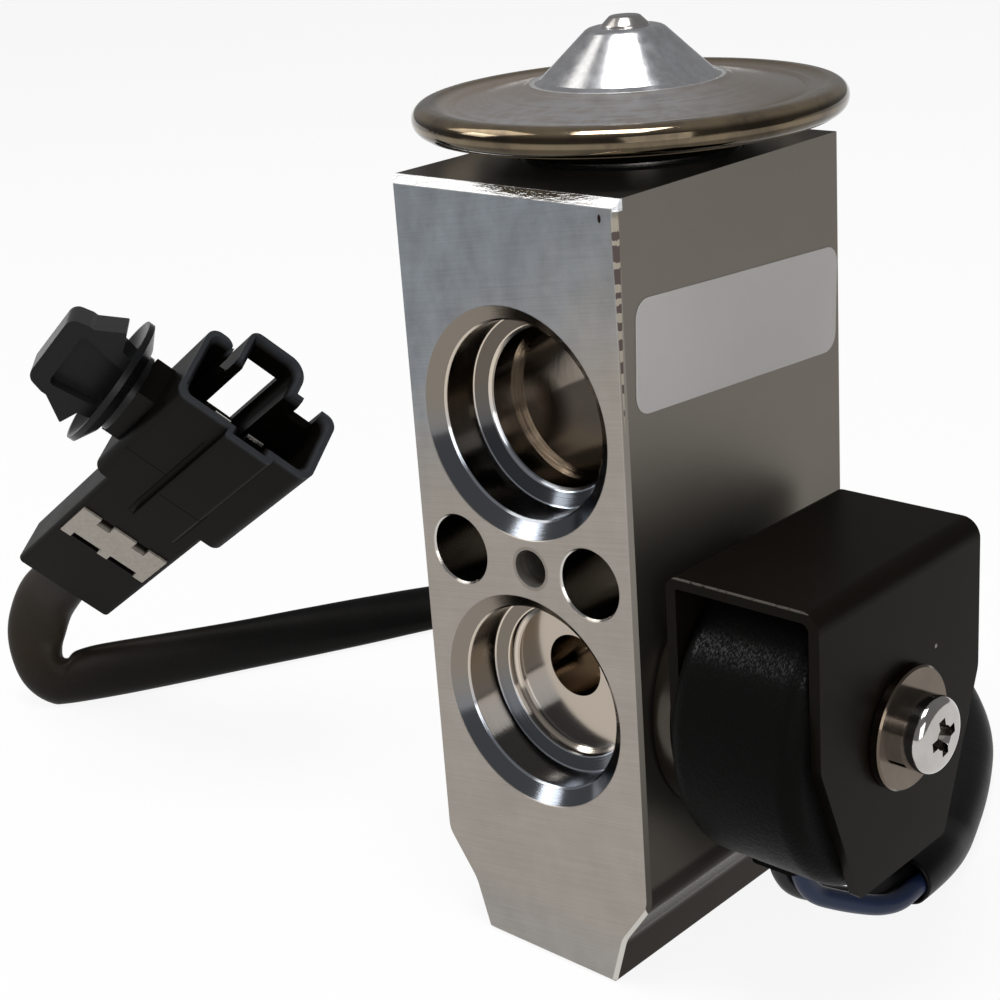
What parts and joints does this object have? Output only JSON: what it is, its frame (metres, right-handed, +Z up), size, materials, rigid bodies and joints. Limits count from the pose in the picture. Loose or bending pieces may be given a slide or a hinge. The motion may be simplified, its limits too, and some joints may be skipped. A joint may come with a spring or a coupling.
{
  "type": "expansion valve",
  "caption": "Block-type thermostatic expansion valve with a round power head, a side-mounted shut-off solenoid and its sleeved lead with a plug.",
  "frame": {"origin": "centre of the block's flat base", "axes": "+Z up along the block to the power head, +X from the block to the solenoid, -Y out of the face with the ports that the picture shows"},
  "size_m": [0.1511, 0.109, 0.102],
  "materials": {
    "block_aluminium": "extruded and machined aluminium, fine vertical draw lines",
    "screw_brass": "turned brass",
    "cup_brass": "turned brass",
    "pad_brass": "turned brass",
    "winding_copper": "enamelled copper winding",
    "seal_rubber": "black rubber",
    "spring_steel": "spring steel wire",
    "ball_steel": "polished steel ball",
    "pin_steel": "ground steel",
    "rod_aluminium": "turned aluminium",
    "retainer_steel": "pressed steel",
    "head_steel": "pressed stainless steel, semi-bright",
    "diaphragm_steel": "thin stainless sheet",
    "base_steel": "turned steel",
    "tube_steel": "drawn stainless tube",
    "core_steel": "turned magnetic steel",
    "bobbin_plastic": "black moulded bobbin",
    "case_plastic": "black moulded case, slightly satin",
    "bracket_paint": "black satin paint on sheet steel",
    "fastener_steel": "bright plated steel",
    "dark_insulation": "black wire insulation",
    "blue_insulation": "dark blue wire insulation",
    "sleeve_vinyl": "black vinyl sleeve",
    "plug_plastic": "black moulded plug",
    "retainer_plastic": "off-white moulded insert",
    "contact_tin": "tinned contact",
    "clip_plastic": "black moulded clip"
  },
  "bodies": {
    "valve": {"valve_block": "block_aluminium", "superheat_spring": "spring_steel", "rod_seal": "seal_rubber", "rod_seal_retainer": "retainer_steel", "head_sleeve": "head_steel", "head_ring": "seal_rubber", "head_lower_cover": "head_steel", "head_upper_cover": "head_steel", "charge_plug": "head_steel", "diaphragm": "diaphragm_steel", "solenoid_base": "base_steel", "solenoid_ring": "seal_rubber", "solenoid_tube": "tube_steel", "solenoid_core": "core_steel", "plunger_spring": "spring_steel", "coil_bobbin": "bobbin_plastic", "coil_winding": "winding_copper", "coil_case": "case_plastic", "coil_bracket": "bracket_paint", "flat_washer": "fastener_steel", "spring_washer": "fastener_steel", "coil_screw": "fastener_steel", "dark_wire": "dark_insulation", "blue_wire": "blue_insulation", "lead_sleeve": "sleeve_vinyl", "connector_housing": "plug_plastic", "connector_blades": "contact_tin", "connector_clip": "clip_plastic"},
    "valve_train": {"pressure_pad": "pad_brass", "sensing_rod": "rod_aluminium", "push_pin": "pin_steel", "valve_ball": "ball_steel", "spring_cup": "cup_brass"},
    "armature": {"plunger": "core_steel", "plunger_seal": "seal_rubber"},
    "setting_seal": {"setting_ring": "seal_rubber"},
    "adjuster": {"setting_screw": "screw_brass"},
    "contact_lock": {"connector_retainer": "retainer_plastic"}
  },
  "joints": [
    {"name": "valve_lift", "type": "slide", "parent": "valve", "child": "valve_train", "axis": [0, 0, -1], "range_m": [0, 0.0006], "stiffness_N_per_m": 9000, "springref_m": -0.0005, "deforming": ["superheat_spring", "diaphragm"]},
    {"name": "plunger_travel", "type": "slide", "parent": "valve", "child": "armature", "axis": [1, 0, 0], "range_m": [0, 0.0012], "stiffness_N_per_m": 800, "springref_m": -0.0015, "deforming": ["plunger_spring"]},
    {"name": "setting_travel", "type": "slide", "parent": "valve", "child": "setting_seal", "axis": [0, 0, 1], "range_m": [-0.0005, 0.0005], "deforming": ["superheat_spring"]},
    {"name": "setting_turn", "type": "hinge", "parent": "setting_seal", "child": "adjuster", "pos_m": [0, 0.0025, 0], "axis": [0, 0, 1], "range_deg": [-180, 180]},
    {"name": "retainer_slide", "type": "slide", "parent": "valve", "child": "contact_lock", "axis": [0.3192, -0.8271, -0.4627], "range_m": [0, 0.0014]}
  ],
  "couplings": [
    {"joint": "setting_turn", "follows": "setting_travel", "rad_per_m": 6283.2}
  ]
}
